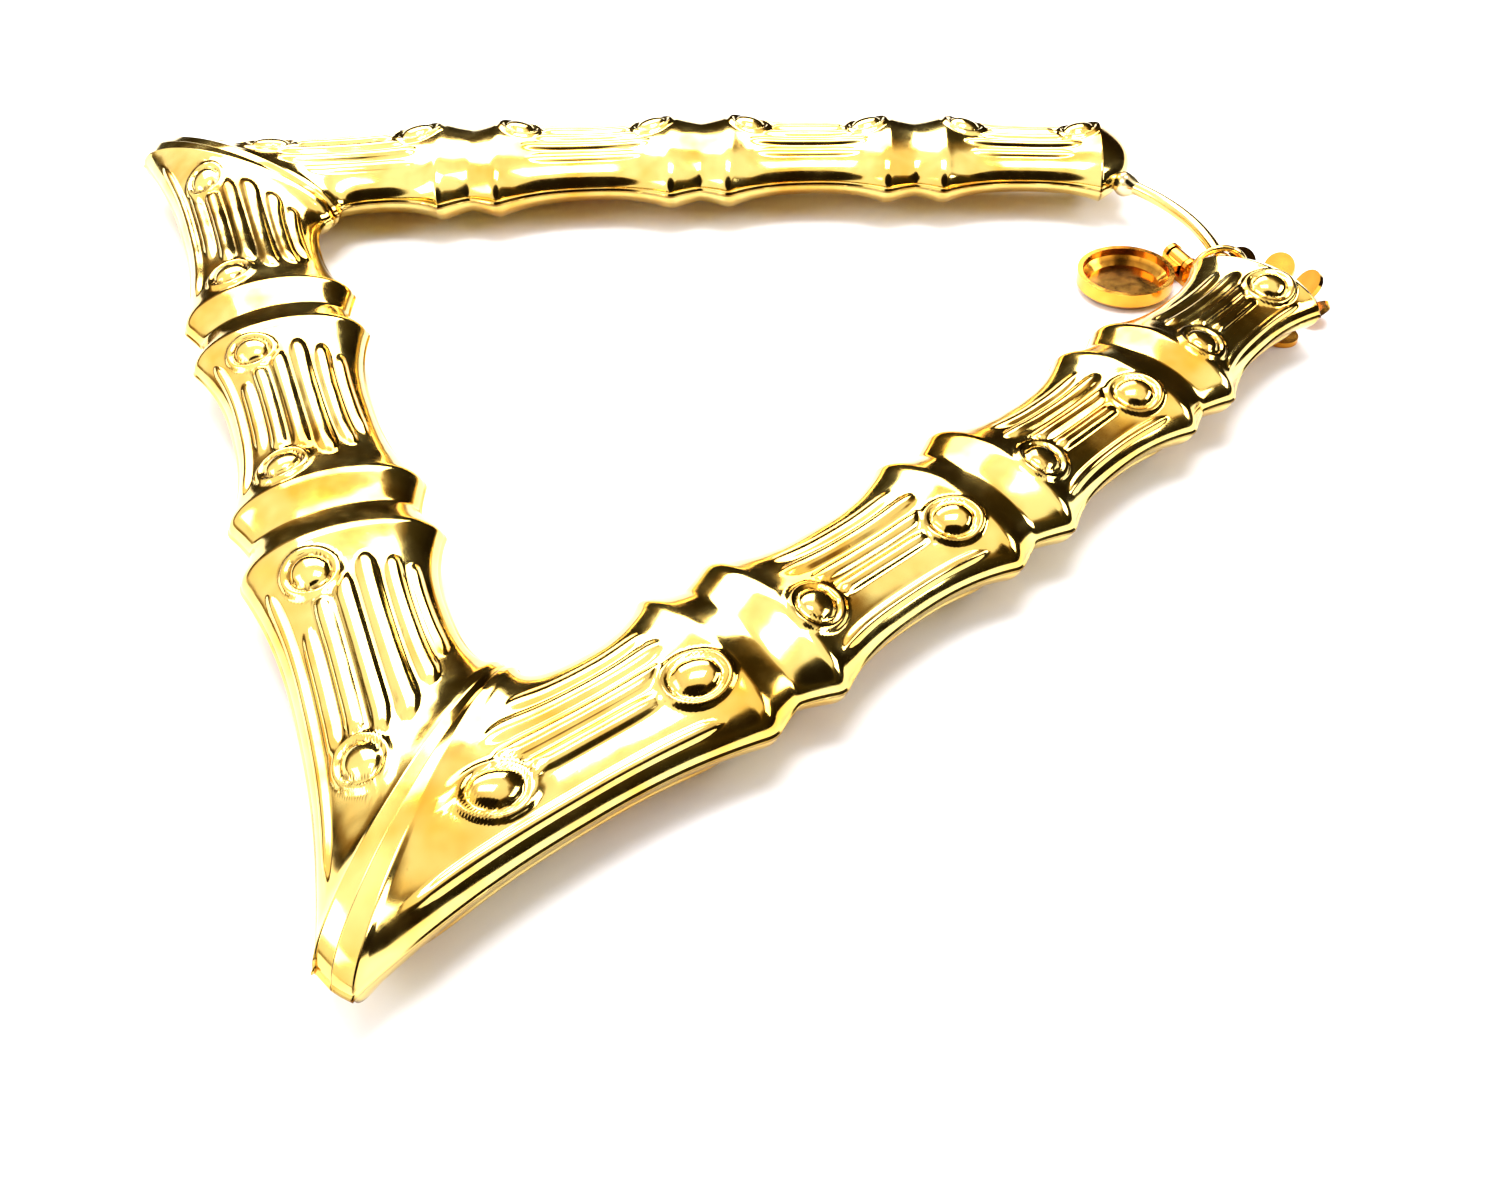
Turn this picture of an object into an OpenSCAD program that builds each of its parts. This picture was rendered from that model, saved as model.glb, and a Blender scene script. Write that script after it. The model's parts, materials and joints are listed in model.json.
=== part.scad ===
// Clip-on hoop earring, lying on its back face. Millimetres, +Z up, floor at z = 0.
// The hoop is an open triangle: a straight base between two corners and two bowed legs,
// joined at the open end by a thin wire that carries a jump ring and a hinged ear clip.

/* [Hoop] */
// Distance between the two corners, measured on the axes
corner_span = 72; // [68:1:76]
// Angle of a leg to the base where it leaves the corner
leg_angle = 75.4; // [74:0.1:77]
// Turn of a leg towards the middle for each millimetre of its length, in degrees
leg_bend = 0.178; // [0.15:0.001:0.2]
// Length of a leg's axis from the corner to the lip of its open end
leg_length = 70.7; // [70:0.1:72]
// Distance of each base node from the middle of the base
base_node = 11.96; // [11.5:0.01:12.5]
// Thickness of the section as a share of its width
flatness = 0.47; // [0.44:0.01:0.5]

/* [Bamboo pattern] */
// Radius of a segment's waist as a share of its lips
waist = 0.74; // [0.7:0.01:0.8]
// Radius of the valley between two lips as a share of the lips
valley = 0.84; // [0.8:0.01:0.9]
// Height of the ribs
rib_height = 0.32; // [0.1:0.01:0.4]
// Height of the ring and the dot of a bud
bud_height = 0.5; // [0.2:0.01:0.6]
// Distance of a bud's middle from the lip on the legs
bud_inset = 1.7; // [1.6:0.1:1.9]
// Width by which the soldered seam stands out as a thin rim
seam_rim = 0.25; // [0.05:0.05:0.3]

/* [Wire and jump ring] */
// Thickness of the wire across the open end
wire_d = 1.0; // [0.9:0.05:1.1]
// Rise of the wire's arch over its two ends
wire_rise = 2.1; // [2:0.1:2.2]
// Thickness of the jump ring's wire
ring_wire_d = 0.5; // [0.4:0.05:0.5]
// Outer diameter of the jump ring
ring_d = 4.2; // [4.1:0.1:4.2]

/* [Clip] */
// Outer radius of the flower-like plate
plate_r = 6.0; // [5.8:0.1:6.1]
// Thickness of the sheet that the clip is stamped from
sheet = 0.4; // [0.3:0.05:0.4]
// Outer radius of the round pad on the lever
pad_r = 3.6; // [3.5:0.1:3.7]
// Height of the pad's wall
pad_h = 1.5; // [1.4:0.1:1.7]
// Angle by which the plate's free petals are curled up
petal_curl = 52; // [40:1:55]
// Diameter of the hinge pin
pin_d = 0.7; // [0.6:0.05:0.75]

/* [Hidden] */
gold = [0.93, 0.72, 0.26];
pale_gold = [0.95, 0.85, 0.55];
fine = 48;

// Nodes of a leg. Columns: distance from the corner, half the gap between the lips, lip radius
LEG_NODES = [
    [19.6, 2.36, 6.3],
    [38.4, 2.35, 6.0],
    [55.9, 2.29, 5.6]
];
BASE_LIP_R = 6.1;
BASE_LIP_GAP = 2.75;
CORNER_R = 6.7;
CORNER_LIP_GAP = 1.1;
BASE_SWELL = -0.05;
LEG_SWELL = 0.05;
CORNER_VALLEY = 0.12;
END_LIP_R = 5.0;

// How much farther from the lip a bud lies on the base, and at a corner
BASE_BUD_SHIFT = 0.8;
CORNER_BUD_SHIFT = 2.4;

// Points round the upper half of the section, from the inner seam to the outer one.
// Columns: angle, share of the ribs' height on the base, the share on the legs, start and end of
// the rib along its segment
SECTION = [
    [0, 0, 0, 0, 0],
    [14, 0, 0, 0, 0],
    [26, 0, 0, 0, 0],
    [34.5, 0, 0, 0, 0],
    [43, 0.8, 0, 0.30, 0.74],
    [51.5, 0, 0, 0, 0],
    [60, 1, 0.5, 0.22, 0.80],
    [69, 0, 0, 0, 0],
    [78, 1, 1, 0.18, 0.84],
    [86.5, 0, 0, 0, 0],
    [95, 1, 1, 0.24, 0.80],
    [103.5, 0, 0, 0, 0],
    [112, 1, 1, 0.28, 0.72],
    [120.5, 0, 0, 0, 0],
    [129, 0.6, 0, 0.34, 0.66],
    [137, 0, 0, 0, 0],
    [148, 0.8, 0.8, 0.14, 0.86],
    [161, 0, 0, 0, 0],
    [180, 0, 0, 0, 0]
];
half_count = len(SECTION);
ring_count = 2 * half_count - 2;
bud_angle = 112;

// Height over a bud's middle as a share of bud_height. Columns: distance, height
BUD_PROFILE = [[0, 1], [1.05, 0.3], [1.4, 0.8], [1.95, 0]];

// The rounded cap past the open end's lip. Columns: distance past the lip, share of its radius
CAP = [[0.9, 0.84], [1.7, 0.62], [2.3, 0.3]];

half_span = corner_span / 2;
mitre = 1 / tan(leg_angle / 2);
seam_z = flatness * CORNER_R + 0.08;

// The origin is under the middle of the whole earring, which lies this far from the base's axis
middle_y = 33.426;

module placed() {
    translate([0, -middle_y, 0]) children();
}

// A leg's axis: place and heading at a distance from its corner
bend_r = 180 / (PI * leg_bend);
function leg_heading(s) = leg_angle - leg_bend * s;
function leg_x(s) = half_span - bend_r * (sin(leg_angle) - sin(leg_heading(s)));
function leg_y(s) = bend_r * (cos(leg_heading(s)) - cos(leg_angle));

// A segment runs between two lips: [start, end, radius of the first lip, radius of the second,
// distance of the first bud from its lip, distance of the second bud]
function spool_r(seg, s) =
    let (t = (s - seg[0]) / (seg[1] - seg[0]))
    (seg[2] + (seg[3] - seg[2]) * t) * (waist + (1 - waist) * pow(abs(2 * t - 1), 2.5));

function rib_window(t, row) =
    min(1, max(0, (t - row[3]) / 0.06 + 0.5), max(0, (row[4] - t) / 0.06 + 0.5));

function oval(a, r) = [-r * cos(a), flatness * r * sin(a)];

// Height over the nearest bud. The lean of the ring skews it along the axis, and the bud stays round
function bud_rise(seg, s, a, r, lean) =
    let (
        off = oval(a, r) - oval(bud_angle, r),
        skew = off[0] * mitre * lean,
        first = norm([s - seg[0] - seg[4] - skew, off[0], off[1]]),
        second = norm([seg[1] - s - seg[5] + skew, off[0], off[1]])
    )
    bud_height * lookup(min(first, second), BUD_PROFILE);

// Relief of one point of the section on a segment
function relief(seg, s, row, r, lean, share) =
    let (
        t = (s - seg[0]) / (seg[1] - seg[0]),
        bud = bud_rise(seg, s, row[0], r, lean),
        rib = share > 0 ? rib_height * share * rib_window(t, row) : 0
    )
    max(bud, rib);

// One ring round the hoop's axis. A station holds the distance from the corner, the radius,
// how far the ring leans into the mitre, the swell of its outer side, and its segment or none.
function ring_point(base, st, row, side) =
    let (
        s = st[0],
        r = st[1],
        a = row[0],
        seg = st[4],
        seam = (a == 0 || a == 180) ? seam_rim : 0,
        rise = seam + (len(seg) > 0 ? relief(seg, s, row, r, st[2], row[base ? 1 : 2]) : 0),
        outer = (1 - cos(a)) / 2,
        p = oval(a, r),
        n = [-flatness * cos(a), sin(a)] / norm([flatness * cos(a), sin(a)]),
        u = p[0] * (1 + st[3] * outer) + n[0] * rise,
        z = side * (p[1] + n[1] * rise),
        along = -u * mitre * st[2],
        h = leg_heading(s)
    )
    base
        ? [half_span - s - along, -u, seam_z + z]
        : [
            leg_x(s) - cos(h) * along + sin(h) * u,
            leg_y(s) + sin(h) * along + cos(h) * u,
            seam_z + z
        ];

function ring(base, st) = concat(
    [for (row = SECTION) ring_point(base, st, row, 1)],
    [for (i = [half_count - 2:-1:1]) ring_point(base, st, SECTION[i], -1)]
);

function flipped(rings) =
    [for (i = [len(rings) - 1:-1:0]) [for (p = rings[i]) [-p[0], p[1], p[2]]]];

// Distances from a lip to the stations round its bud
function bud_stations(inset) =
    concat(inset > 2 ? [0.5] : [], [inset - 1.3, inset, inset + 1.3, inset + 2]);

// Stations of one segment, close together at the two buds
function segment_stations(seg, lean_end, swell) =
    let (
        length = seg[1] - seg[0],
        first = bud_stations(seg[4]),
        second = bud_stations(seg[5]),
        count = len(second),
        middle = length > 15 ? [0.44 * length, 0.56 * length] : [0.5 * length],
        all = concat(first, middle, [for (i = [count - 1:-1:0]) length - second[i]])
    )
    [for (d = all) [
        seg[0] + d,
        spool_r(seg, seg[0] + d),
        max(0, 1 - (seg[0] + d) / lean_end),
        swell * pow(max(0, 1 - (seg[0] + d) / lean_end), 4),
        seg
    ]];

function node_stations(place, gap, r) = [
    [place - gap, r, 0, 0, []],
    [place, r * valley, 0, 0, []],
    [place + gap, r, 0, 0, []]
];

corner_lean = 1 - (CORNER_LIP_GAP - 0.15) / (CORNER_R * mitre);
corner_dip = [0, CORNER_R - 0.1, 1, -CORNER_VALLEY, []];

// The right half of the base, from the middle to the corner
base_first = half_span - base_node - BASE_LIP_GAP;
base_second = half_span - base_node + BASE_LIP_GAP;
corner_bud = bud_inset + CORNER_BUD_SHIFT;
base_bud = bud_inset + BASE_BUD_SHIFT;
base_corner_seg = [CORNER_LIP_GAP, base_first, CORNER_R, BASE_LIP_R, corner_bud, base_bud];
base_middle_seg = [base_second, corner_span - base_second, BASE_LIP_R, BASE_LIP_R, base_bud, base_bud];
base_middle = [for (st = segment_stations(base_middle_seg, base_first, 0)) if (st[0] < half_span) st];
base_stations = concat(
    [[CORNER_LIP_GAP, CORNER_R, corner_lean, BASE_SWELL, []]],
    segment_stations(base_corner_seg, base_first, BASE_SWELL),
    node_stations(half_span - base_node, BASE_LIP_GAP, BASE_LIP_R),
    base_middle
);

// The right leg, from the corner to the cap
leg_first = LEG_NODES[0][0] - LEG_NODES[0][1];
leg_segs = [for (i = [0:3]) [
    i == 0 ? CORNER_LIP_GAP : LEG_NODES[i - 1][0] + LEG_NODES[i - 1][1],
    i == 3 ? leg_length : LEG_NODES[i][0] - LEG_NODES[i][1],
    i == 0 ? CORNER_R : LEG_NODES[i - 1][2],
    i == 3 ? END_LIP_R : LEG_NODES[i][2],
    i == 0 ? corner_bud : bud_inset,
    bud_inset
]];
leg_stations = concat(
    [[CORNER_LIP_GAP, CORNER_R, corner_lean, LEG_SWELL, []]],
    [for (i = [0:3]) each concat(
        segment_stations(leg_segs[i], leg_first, LEG_SWELL),
        i < 3 ? node_stations(LEG_NODES[i][0], LEG_NODES[i][1], LEG_NODES[i][2]) : []
    )],
    [[leg_length, END_LIP_R, 0, 0, []]],
    [for (c = CAP) [leg_length + c[0], END_LIP_R * c[1], 0, 0, []]]
);

right_rings = concat(
    [for (i = [len(base_stations) - 1:-1:0]) ring(true, base_stations[i])],
    [ring(false, corner_dip)],
    [for (st = leg_stations) ring(false, st)]
);
hoop_rings = concat(flipped(right_rings), right_rings);

// The wire across the open end is an arc between two points inside the caps
cap_heading = leg_heading(leg_length);
wire_half = leg_x(leg_length) - sin(cap_heading) * 2.72 - cos(cap_heading) * 0.62;
wire_end_y = leg_y(leg_length) - cos(cap_heading) * 2.72 + sin(cap_heading) * 0.62;
wire_r = (wire_half * wire_half + wire_rise * wire_rise) / (2 * wire_rise);
wire_centre_y = wire_end_y + wire_rise - wire_r;
wire_reach = asin(wire_half / wire_r) + 2;

// The jump ring stands round the wire, on the clip's plate
ring_r = (ring_d - ring_wire_d) / 2;
ring_x = 6.4;
ring_turn = asin(ring_x / wire_r);
ring_y = wire_centre_y + wire_r * cos(ring_turn);
ring_play = 0.05;
ring_z = sheet + ring_play + ring_d / 2;

module skin(rings) {
    count = len(rings[0]);
    last = len(rings) - 1;
    points = [for (r = rings) each r];
    sides = [for (i = [0:last - 1], j = [0:count - 1])
        let (a = i * count + j, b = i * count + (j + 1) % count)
        each [[a, b, b + count], [a, b + count, a + count]]];
    near_end = [[for (j = [count - 1:-1:0]) j]];
    far_end = [[for (j = [0:count - 1]) last * count + j]];
    polyhedron(points = points, faces = concat(sides, near_end, far_end), convexity = 10);
}

module end_wire() {
    translate([0, wire_centre_y, seam_z])
        rotate([0, 0, 90 - wire_reach])
            rotate_extrude(angle = 2 * wire_reach, $fn = 4 * fine)
                translate([wire_r, 0]) circle(d = wire_d, $fn = fine / 2);
}

module hoop_body() {
    color(gold) placed() union() {
        skin(hoop_rings);
        end_wire();
    }
}

// The ring's place on the wire: X along the wire, Y across it, Z from the floor
module at_ring() {
    translate([ring_x, ring_y, 0]) rotate([0, 0, -ring_turn]) children();
}

module jump_ring() {
    color(pale_gold) placed() at_ring()
        translate([0, 0, ring_z]) rotate([0, 90, 0])
            rotate_extrude($fn = fine)
                translate([ring_r, 0]) circle(d = ring_wire_d, $fn = fine / 2);
}

// The clip lies open: the lever's pad is flat on the floor inside the triangle, and the plate lies
// under the wire and the cap. The clip's frame has the pin along X and the lever towards -Y.
hinge_x = 2.2;
hinge_y = 65.8;
clip_turn = 0;
pin_z = 1.15;
ear_gap = 2.1;
ear_w = 0.4;
ear_r = 0.75;
pin_length = ear_gap + 2 * ear_w + 0.3;
pin_play = 0.06;
bore_play = 0.01;
pad_reach = 4.9;
pad_wall = 0.4;
pad_step = 0.95;
pad_floor_r = pad_r - 1;
arm_w = 1.7;
arm_t = 0.45;
knuckle_r = 0.65;

// The plate's disc, its petals and the small bridge that holds the jump ring
plate_x = 5.8;
plate_y = 2.6;
disc_r = plate_r - 1.9;
petal_w = 2.3;
petal_length = plate_r - disc_r + 0.4;
pad_room = 0.5;
bridge_w = 0.7;
bridge_t = 0.35;
bridge_half = 1.05;

// Petals of the plate. Columns: angle, share of the curl
PETALS = [
    [-10, 0], [35, 0.7], [80, 1], [120, 1], [160, 1], [265, 0], [310, 0]
];

module in_clip_frame() {
    placed() translate([hinge_x, hinge_y, 0]) rotate([0, 0, clip_turn]) children();
}

module petal(angle, curl) {
    rotate([0, 0, angle]) translate([disc_r - 0.4, 0, 0]) rotate([0, -curl, 0])
        linear_extrude(sheet) union() {
            translate([0, -petal_w / 2]) square([petal_length - petal_w / 2, petal_w]);
            translate([petal_length - petal_w / 2, 0]) circle(d = petal_w, $fn = fine);
        }
}

// Side view of a part round the pin, drawn with X up from the floor and Y along the clip
module along_pin(width) {
    rotate([0, -90, 0]) translate([0, 0, -width / 2]) linear_extrude(width) children();
}

module ear() {
    along_pin(ear_w) difference() {
        union() {
            translate([pin_z, 0]) circle(r = ear_r, $fn = fine);
            translate([0, -ear_r]) square([pin_z, 2 * ear_r]);
        }
        translate([pin_z, 0]) circle(d = pin_d, $fn = fine);
    }
}

module bridge() {
    translate([-bridge_half, -bridge_w / 2, sheet / 2]) difference() {
        cube([2 * bridge_half, bridge_w, sheet / 2 + ring_wire_d + 2 * ring_play + bridge_t]);
        translate([bridge_t, -bridge_w / 2, -bridge_t])
            cube([2 * (bridge_half - bridge_t), 2 * bridge_w, sheet / 2 + ring_wire_d + 2 * ring_play + bridge_t]);
    }
}

module clip_plate() {
    color(gold) union() {
        in_clip_frame() {
            difference() {
                translate([plate_x, plate_y, 0]) {
                    cylinder(r = disc_r, h = sheet, $fn = fine);
                    for (row = PETALS)
                        petal(row[0], row[1] * petal_curl);
                }
                translate([0, -pad_reach, -sheet]) cylinder(r = pad_r + pad_room, h = 3 * sheet, $fn = fine);
            }
            translate([-ear_gap / 2 - ear_w, -ear_r, 0])
                cube([plate_x - disc_r / 2 + ear_gap / 2 + ear_w, 2 * ear_r, sheet]);
            translate([(ear_gap + ear_w) / 2, 0, 0]) ear();
            translate([-(ear_gap + ear_w) / 2, 0, 0]) ear();
        }
        placed() at_ring() bridge();
    }
}

module hinge_pin() {
    color(pale_gold) in_clip_frame()
        translate([-pin_length / 2, 0, pin_z]) rotate([0, 90, 0])
            cylinder(d = pin_d - 2 * bore_play, h = pin_length, $fn = fine);
}

module clip_paddle() {
    color(gold) in_clip_frame() {
        translate([0, -pad_reach, 0]) rotate_extrude($fn = 2 * fine)
            polygon([
                [0, 0], [pad_r - 0.5, 0], [pad_r, 0.5], [pad_r, pad_h], [pad_r - pad_wall, pad_h],
                [pad_r - pad_wall, pad_step], [pad_floor_r, sheet], [0, sheet]
            ]);
        along_pin(arm_w) difference() {
            union() {
                translate([pin_z, 0]) circle(r = knuckle_r, $fn = fine);
                translate([pin_z - arm_t / 2, -pad_reach + pad_r - pad_wall / 2])
                    square([arm_t, pad_reach - pad_r + pad_wall / 2]);
            }
            translate([pin_z, 0]) circle(r = pin_d / 2 + pin_play, $fn = fine);
        }
    }
}

hoop_body();
jump_ring();
clip_plate();
hinge_pin();
clip_paddle();
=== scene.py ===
"""Looks of a clip-on bamboo hoop earring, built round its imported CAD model.

The hoop is two stamped brass halves soldered along a seam and gold plated. Its joints, ribs and
buds are made here as one fine skin for each arm, so highlights run along every lip and groove.
The skins have the CAD solid's sizes, apart from rounded lips and a lower seam. The clip's stamped
pieces keep the form of their solids.
"""

import json
import logging
import math
from dataclasses import dataclass
from enum import Enum
from typing import Sequence

import bpy
import numpy as np
from mathutils import Euler, Matrix, Vector

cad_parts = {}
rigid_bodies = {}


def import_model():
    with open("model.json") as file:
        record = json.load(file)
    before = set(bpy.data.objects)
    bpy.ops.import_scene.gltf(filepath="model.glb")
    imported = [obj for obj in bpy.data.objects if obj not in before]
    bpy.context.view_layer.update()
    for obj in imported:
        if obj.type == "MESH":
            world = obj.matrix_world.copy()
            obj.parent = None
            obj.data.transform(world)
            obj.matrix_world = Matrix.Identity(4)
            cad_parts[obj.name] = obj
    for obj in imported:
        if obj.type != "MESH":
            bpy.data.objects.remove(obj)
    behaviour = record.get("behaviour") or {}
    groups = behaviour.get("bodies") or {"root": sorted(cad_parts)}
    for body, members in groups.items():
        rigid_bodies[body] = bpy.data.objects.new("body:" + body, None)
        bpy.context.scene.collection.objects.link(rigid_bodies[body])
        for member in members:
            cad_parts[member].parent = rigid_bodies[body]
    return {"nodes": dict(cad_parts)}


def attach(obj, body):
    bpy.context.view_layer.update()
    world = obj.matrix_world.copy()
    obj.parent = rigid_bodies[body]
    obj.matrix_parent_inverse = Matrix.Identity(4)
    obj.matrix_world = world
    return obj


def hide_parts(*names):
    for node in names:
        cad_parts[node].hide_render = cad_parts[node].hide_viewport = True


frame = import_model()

MM = 0.001
LOG = logging.getLogger("earring")

# The origin is under the middle of the earring, this far from the axis of the hoop's base, in mm
MIDDLE_Y = 33.426


class Arm(Enum):
    """One straight or bowed part of the hoop's tube."""

    BASE = "base"
    RIGHT_LEG = "right_leg"
    LEFT_LEG = "left_leg"


class Grain(Enum):
    """Which way the fine lines of a metal's last working run."""

    BUFFED = "buffed"
    DRAWN = "drawn"
    STAMPED = "stamped"


def hex_to_linear(code: str) -> tuple[float, float, float, float]:
    """Turn an sRGB hex colour into linear RGBA.

    Args:
        code: Colour as "#rrggbb".

    Returns:
        Linear red, green, blue and an alpha of one.
    """
    channels = [int(code[i:i + 2], 16) / 255 for i in (1, 3, 5)]
    linear = [c / 12.92 if c <= 0.04045 else ((c + 0.055) / 1.055) ** 2.4 for c in channels]
    return (linear[0], linear[1], linear[2], 1.0)


def add_node(
    tree: bpy.types.NodeTree, kind: str, settings: dict | None = None, links: dict | None = None
) -> bpy.types.Node:
    """Add one shader node with its settings and incoming links.

    Args:
        tree: Node tree that gets the node.
        kind: Blender's name of the node type.
        settings: Property names, or input names or numbers, and their values.
        links: Input names or numbers, and the output sockets that feed them.

    Returns:
        The new node.
    """
    node = tree.nodes.new(kind)
    for name, value in (settings or {}).items():
        if isinstance(name, str) and hasattr(node, name):
            setattr(node, name, value)
        else:
            node.inputs[name].default_value = value
    for name, socket in (links or {}).items():
        tree.links.new(socket, node.inputs[name])
    return node


def set_stops(ramp: bpy.types.ColorRamp, stops: Sequence[tuple[float, str]]) -> None:
    """Give a colour ramp its stops.

    Args:
        ramp: The ramp, with its two first stops.
        stops: Positions and hex colours, in order.

    Returns:
        Nothing.
    """
    for _ in stops[2:]:
        ramp.elements.new(0.5)
    for element, (place, code) in zip(ramp.elements, stops):
        element.position = place
        element.color = hex_to_linear(code)


@dataclass(frozen=True)
class GoldPlate:
    """Gold electroplated over stamped and buffed brass.

    Thin bright plating follows every dent of the sheet: it gives the eye near-white highlights
    and near-black reflections side by side, and a slow ripple of the hand-buffed sheet. Random
    patches of a deeper orange are a painted reflection of gold in gold, and dull brown lines in
    the grooves and creases are painted shade.

    Attributes:
        deep_range: Values of the patches' noise between which bright turns to the painted reflection's deep orange.
        groove_mm: Width of the narrowest hollow that stays free of painted shade.
        crease: Sharpness of a crease that gets the full painted shade, and of one that gets none.
        ripple_mm: Length of the sheet's ripples.
        pit_mm: Width of the pits, which lie six widths apart.
        scratch_mm: Length of the lines of the last working.
    """

    name: str = "gold_plate"
    bright: str = "#fde084"
    # The deep orange, laid in random patches, is a painted reflection of gold in gold
    deep: str = "#f2b842"
    deep_range: tuple[float, float] = (0.42, 0.68)
    # The groove colour is painted shade in narrow hollows and creases
    groove_shade: str = "#6e400f"
    groove_mm: float = 0.45
    crease: tuple[float, float] = (0.44, 0.49)
    roughness: float = 0.1
    ripple_mm: float = 2.8
    ripple_depth_mm: float = 0.08
    # Real pits and buffing lines are a few hundredths of a millimetre wide and would not show in
    # the render, so they are drawn this coarse
    pit_mm: float = 0.22
    scratch_mm: float = 0.5
    grain: Grain = Grain.BUFFED

    def material(self) -> bpy.types.Material:
        """Build the finish's node material.

        Returns:
            The new material.
        """
        mat = bpy.data.materials.new(self.name)
        mat.use_nodes = True
        tree = mat.node_tree
        tree.nodes.clear()
        place = add_node(tree, "ShaderNodeTexCoord").outputs["Object"]
        # Painted reflection: random patches of the deep orange stand in for gold that reflects gold
        patches = add_node(
            tree, "ShaderNodeTexNoise", {"Scale": 1 / (6 * MM), "Detail": 3.0, "Roughness": 0.6}, {"Vector": place}
        )
        share = add_node(
            tree,
            "ShaderNodeMapRange",
            {"From Min": self.deep_range[0], "From Max": self.deep_range[1]},
            {"Value": patches.outputs["Fac"]},
        )
        tone = add_node(
            tree,
            "ShaderNodeMix",
            {"data_type": "RGBA", 6: hex_to_linear(self.bright), 7: hex_to_linear(self.deep)},
            {0: share.outputs["Result"]},
        )
        # Painted shade: narrow hollows, found by ambient occlusion, and concave creases, found by pointiness, turn
        # dark brown
        hollow = add_node(
            tree, "ShaderNodeAmbientOcclusion", {"samples": 4, "inside": False, "Distance": self.groove_mm * MM}
        )
        open_share = add_node(tree, "ShaderNodeValToRGB", links={"Fac": hollow.outputs["AO"]})
        set_stops(open_share.color_ramp, [(0.15, "#000000"), (0.55, "#ffffff")])
        crease = add_node(
            tree,
            "ShaderNodeMapRange",
            {"From Min": self.crease[0], "From Max": self.crease[1]},
            {"Value": add_node(tree, "ShaderNodeNewGeometry").outputs["Pointiness"]},
        )
        unshaded = add_node(
            tree,
            "ShaderNodeMath",
            {"operation": "MULTIPLY"},
            {0: open_share.outputs["Color"], 1: crease.outputs["Result"]},
        )
        colour = add_node(
            tree,
            "ShaderNodeMix",
            {"data_type": "RGBA", 6: hex_to_linear(self.groove_shade)},
            {0: unshaded.outputs["Value"], 7: tone.outputs[2]},
        )
        smudge = add_node(
            tree, "ShaderNodeTexNoise", {"Scale": 1 / (2.4 * MM), "Detail": 5.0, "Roughness": 0.7}, {"Vector": place}
        )
        gloss = add_node(
            tree,
            "ShaderNodeMapRange",
            {"From Min": 0.35, "From Max": 0.75, "To Min": self.roughness * 0.6, "To Max": self.roughness * 1.9},
            {"Value": smudge.outputs["Fac"]},
        )
        normal = self._relief(tree, place)
        shader = add_node(
            tree,
            "ShaderNodeBsdfPrincipled",
            {"Metallic": 1.0},
            {"Base Color": colour.outputs[2], "Roughness": gloss.outputs["Result"], "Normal": normal},
        )
        add_node(tree, "ShaderNodeOutputMaterial", links={"Surface": shader.outputs["BSDF"]})
        return mat

    def _relief(self, tree: bpy.types.NodeTree, place: bpy.types.NodeSocket) -> bpy.types.NodeSocket:
        """Add the sheet's ripple, its pits and the lines of its last working.

        Args:
            tree: Node tree that gets the nodes.
            place: Output socket with object coordinates.

        Returns:
            The normal output of the last bump.
        """
        ripple = add_node(
            tree, "ShaderNodeTexNoise", {"Scale": 1 / (self.ripple_mm * MM), "Detail": 1.0}, {"Vector": place}
        )
        soft = add_node(
            tree,
            "ShaderNodeBump",
            {"Strength": 0.6, "Distance": self.ripple_depth_mm * MM},
            {"Height": ripple.outputs["Fac"]},
        )
        stretch = {Grain.BUFFED: (1.0, 1.0, 1.0), Grain.DRAWN: (0.08, 1.0, 1.0), Grain.STAMPED: (1.0, 0.3, 1.0)}
        lines = add_node(
            tree, "ShaderNodeMapping", {"Scale": stretch[self.grain]}, {"Vector": place}
        )
        scratch = add_node(
            tree,
            "ShaderNodeTexNoise",
            {"Scale": 1 / (self.scratch_mm * MM), "Detail": 6.0, "Roughness": 0.7},
            {"Vector": lines.outputs["Vector"]},
        )
        fine = add_node(
            tree,
            "ShaderNodeBump",
            {"Strength": 0.25, "Distance": 0.004 * MM},
            {"Height": scratch.outputs["Fac"], "Normal": soft.outputs["Normal"]},
        )
        pits = add_node(
            tree, "ShaderNodeTexVoronoi", {"Scale": 1 / (self.pit_mm * 6 * MM)}, {"Vector": place}
        )
        hole = add_node(
            tree,
            "ShaderNodeMapRange",
            {"From Min": 0.0, "From Max": 0.09, "To Min": 0.0, "To Max": 1.0},
            {"Value": pits.outputs["Distance"]},
        )
        dented = add_node(
            tree,
            "ShaderNodeBump",
            {"Strength": 0.3, "Distance": 0.006 * MM},
            {"Height": hole.outputs["Result"], "Normal": fine.outputs["Normal"]},
        )
        return dented.outputs["Normal"]


@dataclass(frozen=True)
class SolderBead(GoldPlate):
    """Plated solder, run and frozen in a small lump: paler, duller and more uneven than sheet."""

    name: str = "solder_bead"
    bright: str = "#fff0bc"
    deep: str = "#f2cf86"
    groove_shade: str = "#9a6a2c"
    roughness: float = 0.2
    ripple_mm: float = 0.7
    ripple_depth_mm: float = 0.05


@dataclass(frozen=True)
class DrawnWire(GoldPlate):
    """Plated drawn wire: fine lines along the wire stretch each highlight to one pale band."""

    name: str = "drawn_wire"
    bright: str = "#fbdc8c"
    deep: str = "#f0b955"
    groove_shade: str = "#8a5420"
    roughness: float = 0.13
    ripple_mm: float = 1.6
    ripple_depth_mm: float = 0.01
    scratch_mm: float = 0.25
    grain: Grain = Grain.DRAWN


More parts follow.
